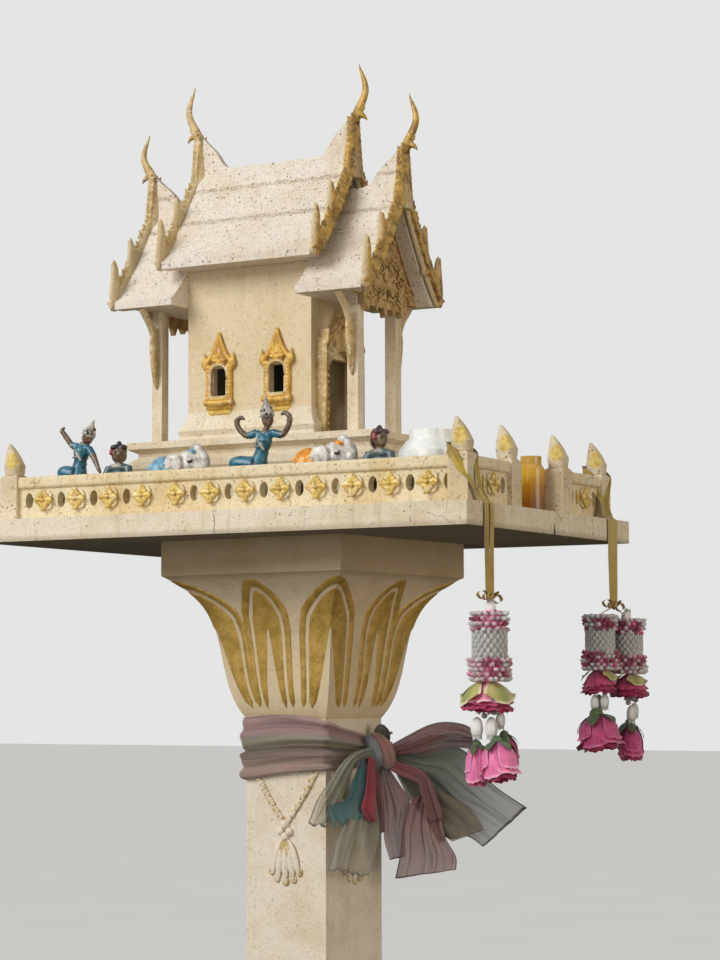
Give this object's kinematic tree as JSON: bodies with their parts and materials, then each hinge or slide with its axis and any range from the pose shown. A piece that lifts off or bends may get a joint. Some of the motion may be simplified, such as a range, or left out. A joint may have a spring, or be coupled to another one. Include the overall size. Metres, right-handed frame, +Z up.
{
  "type": "spirit house",
  "caption": "Cast cement spirit house: a small gabled shrine with horned roof ends on a railed platform, carried by a square pedestal with a flared capital, sash and garlands.",
  "frame": {"origin": "middle of the foot's underside, where it stands on the ground", "axes": "+Z up, +X towards the entrance, -Y the side seen best in the picture"},
  "size_m": [0.6759, 0.42, 1.864],
  "materials": {
    "amber_glass": "clear amber glass",
    "capital_paint": "matt beige paint over cast cement with gold painted petals",
    "cement_paint": "weathered cream paint over cast cement, matt and speckled",
    "faded_gold_paint": "thin faded gold over cream cement",
    "figure_teal_paint": "glossy teal enamel with brown skin",
    "figure_white_paint": "glossy white enamel with blue and orange saddle cloths",
    "garland_flowers": "artificial flowers, white beads and pink petals",
    "gold_paint": "hand-brushed gold paint, satin, worn to cream at the edges",
    "gold_ribbon": "thin satin ribbon",
    "roof_paint": "rough cream cement wash, pitted and stained",
    "sash_fabric": "sheer organza in dusty pink, maroon, grey-green and teal",
    "white_ceramic": "white glaze"
  },
  "bodies": {
    "root": {"capital": "capital_paint", "column_far_front": "cement_paint", "column_far_rear": "cement_paint", "column_near_front": "cement_paint", "column_near_rear": "cement_paint", "dancers": "figure_teal_paint", "door_frame": "gold_paint", "eave_brackets": "faded_gold_paint", "elephants": "figure_white_paint", "far_rail": "cement_paint", "far_wall": "cement_paint", "foot_plinth": "cement_paint", "front_pediment": "faded_gold_paint", "front_rail_far": "cement_paint", "front_rail_near": "cement_paint", "front_roof": "roof_paint", "front_wall": "cement_paint", "garland_far": "garland_flowers", "garland_near": "garland_flowers", "gate_post_far": "cement_paint", "gate_post_near": "cement_paint", "glass_jar": "amber_glass", "house_base": "cement_paint", "main_bargeboard_front": "gold_paint", "main_bargeboard_rear": "faded_gold_paint", "main_roof": "roof_paint", "near_rail": "cement_paint", "near_wall": "cement_paint", "offering_pot": "white_ceramic", "pillar_shaft": "cement_paint", "platform_slab": "cement_paint", "porch_bargeboard_front": "gold_paint", "porch_bargeboard_rear": "faded_gold_paint", "post_far_front": "cement_paint", "post_far_rear": "cement_paint", "post_near_front": "cement_paint", "post_near_rear": "cement_paint", "rear_pediment": "faded_gold_paint", "rear_rail": "cement_paint", "rear_roof": "roof_paint", "rear_wall": "cement_paint", "ribbon_far": "gold_ribbon", "ribbon_near": "gold_ribbon", "sash_band": "sash_fabric", "sash_bow": "sash_fabric", "servants": "figure_teal_paint", "wall_foot": "cement_paint", "window_frames_far": "gold_paint", "window_frames_near": "gold_paint"}
  },
  "joints": []
}
